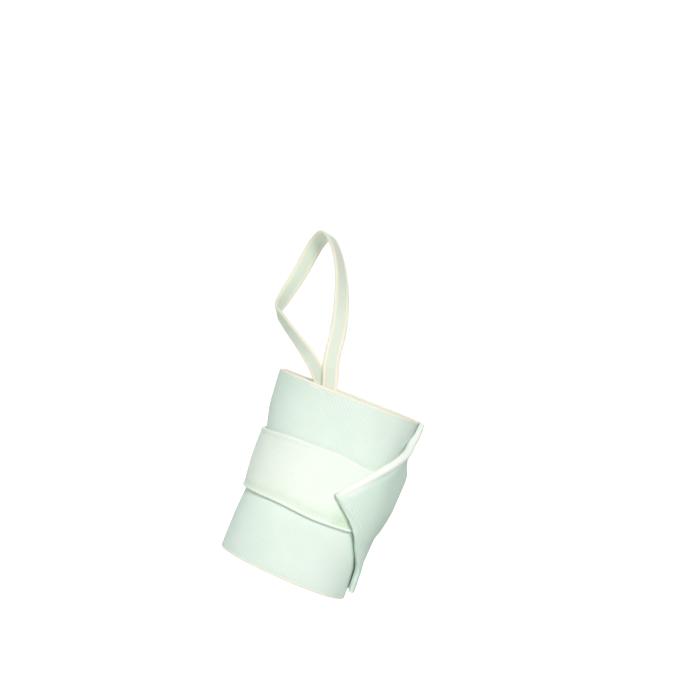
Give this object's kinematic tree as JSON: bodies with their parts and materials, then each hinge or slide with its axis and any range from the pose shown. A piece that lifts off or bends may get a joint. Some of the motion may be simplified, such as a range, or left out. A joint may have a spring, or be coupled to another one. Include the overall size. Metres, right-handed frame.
{
  "type": "wrist support with thumb loop",
  "caption": "Elastic wrist wrap: a wide ribbed band overlaps itself to a folded point, a narrower strap closes it over the palm side, and a flat elastic loop holds the thumb.",
  "frame": {"origin": "on the wrist's axis at the middle of the band's width, where the wrist sits", "axes": "+Z along the arm from the forearm to the hand, -Y to the palm side, -X to the thumb side"},
  "size_m": [0.0753, 0.0478, 0.1335],
  "materials": {
    "band_elastic": "ribbed woven elastic, pale mint white with cream edges",
    "strap_elastic": "ribbed woven elastic, pale mint white",
    "hook_tape": "white hook tape",
    "loop_elastic": "narrow braided elastic, pale mint white with cream edges"
  },
  "bodies": {
    "root": {"wrist_band": "band_elastic", "closure_strap": "strap_elastic", "hook_patch": "hook_tape", "thumb_loop": "loop_elastic"}
  },
  "joints": []
}
